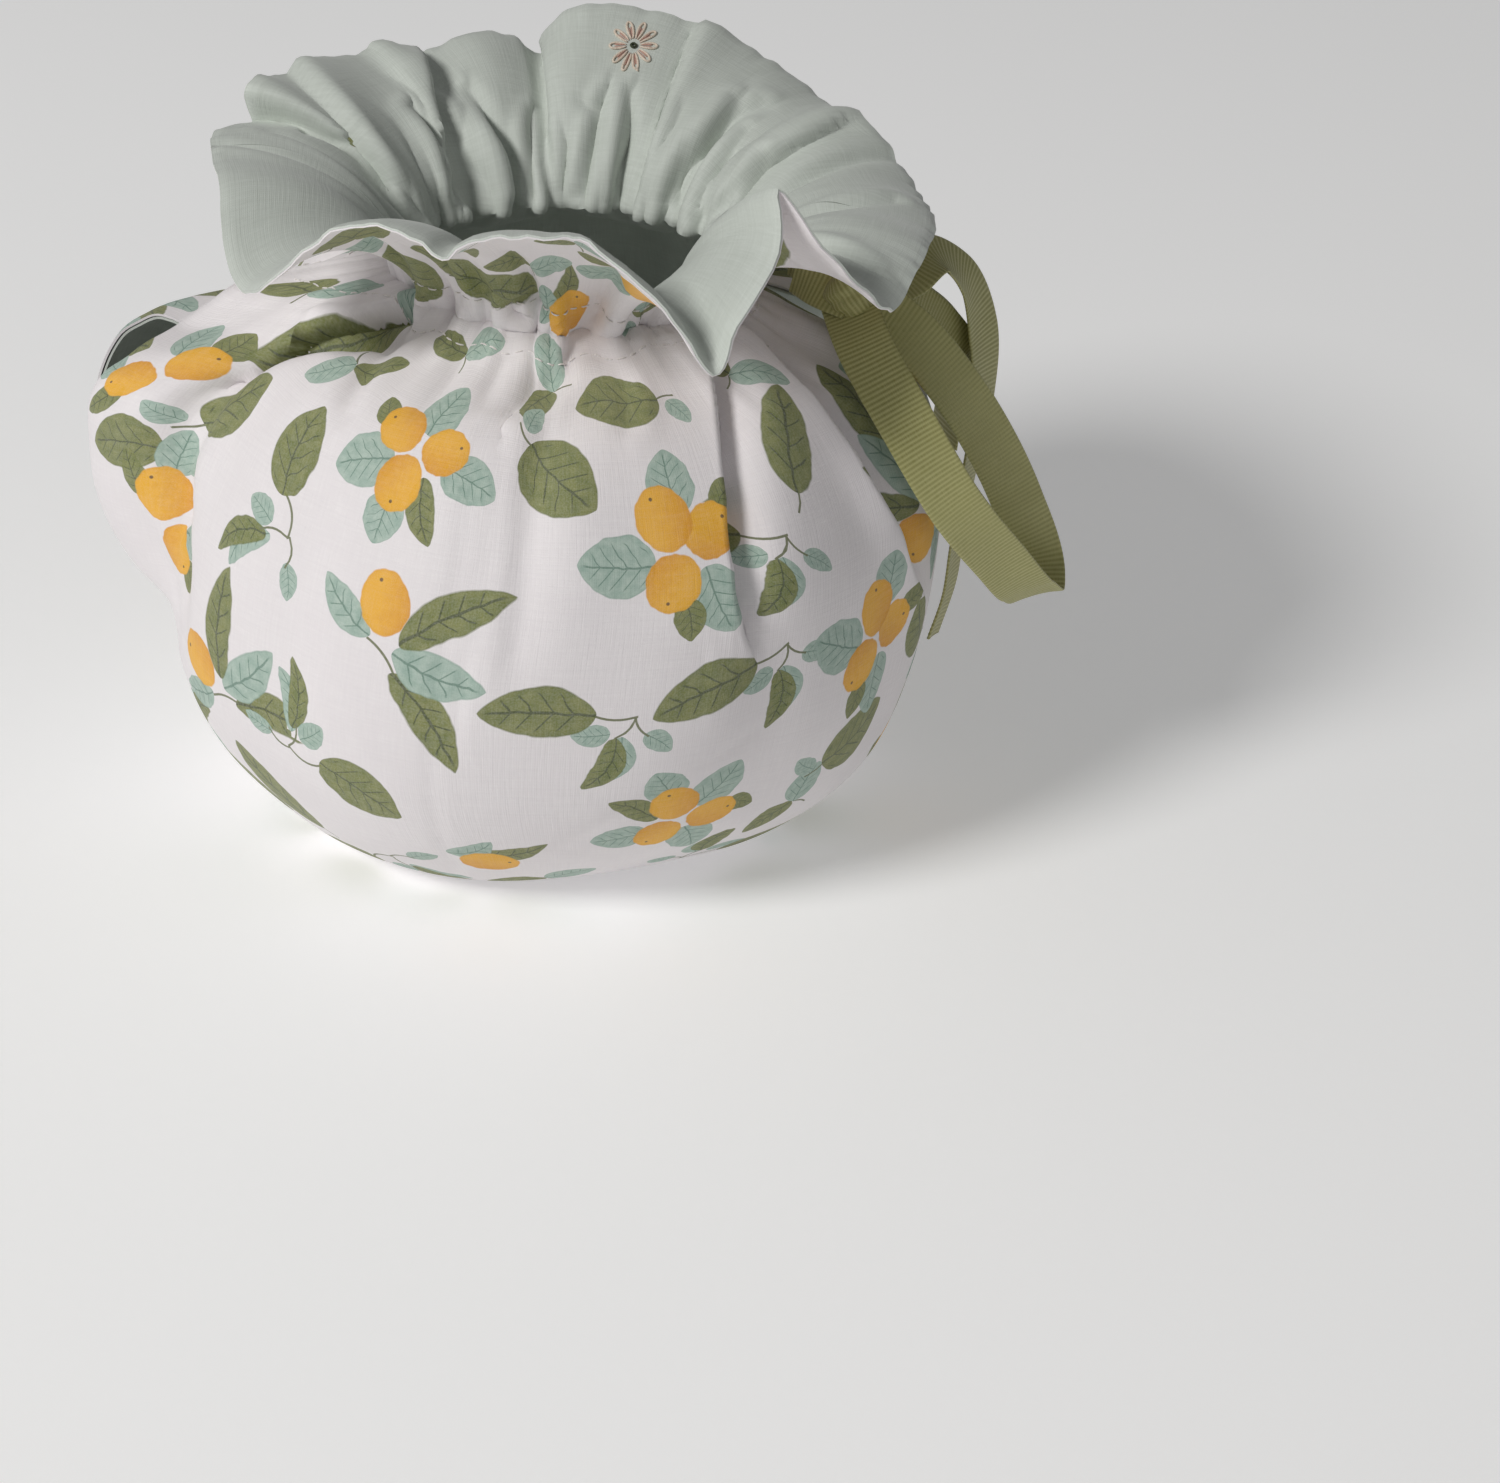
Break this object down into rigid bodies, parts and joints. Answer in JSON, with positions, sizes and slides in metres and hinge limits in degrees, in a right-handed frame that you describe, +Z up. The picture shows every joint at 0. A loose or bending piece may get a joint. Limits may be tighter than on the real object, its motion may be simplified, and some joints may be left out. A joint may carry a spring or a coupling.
{
  "type": "tea cosy",
  "caption": "Fitted cloth tea cosy with a domed printed body, a spout sleeve, a handle slit and a lined frill gathered by a tied ribbon.",
  "frame": {"origin": "on the surface it stands on, under the middle of the whole shape", "axes": "+Z up, the sleeve towards -X, the slit and the tied ribbon towards +X, the front panel towards -Y"},
  "size_m": [0.2287, 0.181, 0.1744],
  "materials": {
    "print_cotton": "matte printed cotton, pale ground with leaves and fruit",
    "lining_cotton": "matte plain sage cotton",
    "ribbon_grosgrain": "ribbed olive grosgrain"
  },
  "bodies": {
    "root": {"front_panel": "print_cotton", "back_panel": "print_cotton", "front_lining": "lining_cotton", "back_lining": "lining_cotton", "drawstring_ribbon": "ribbon_grosgrain"}
  },
  "joints": []
}
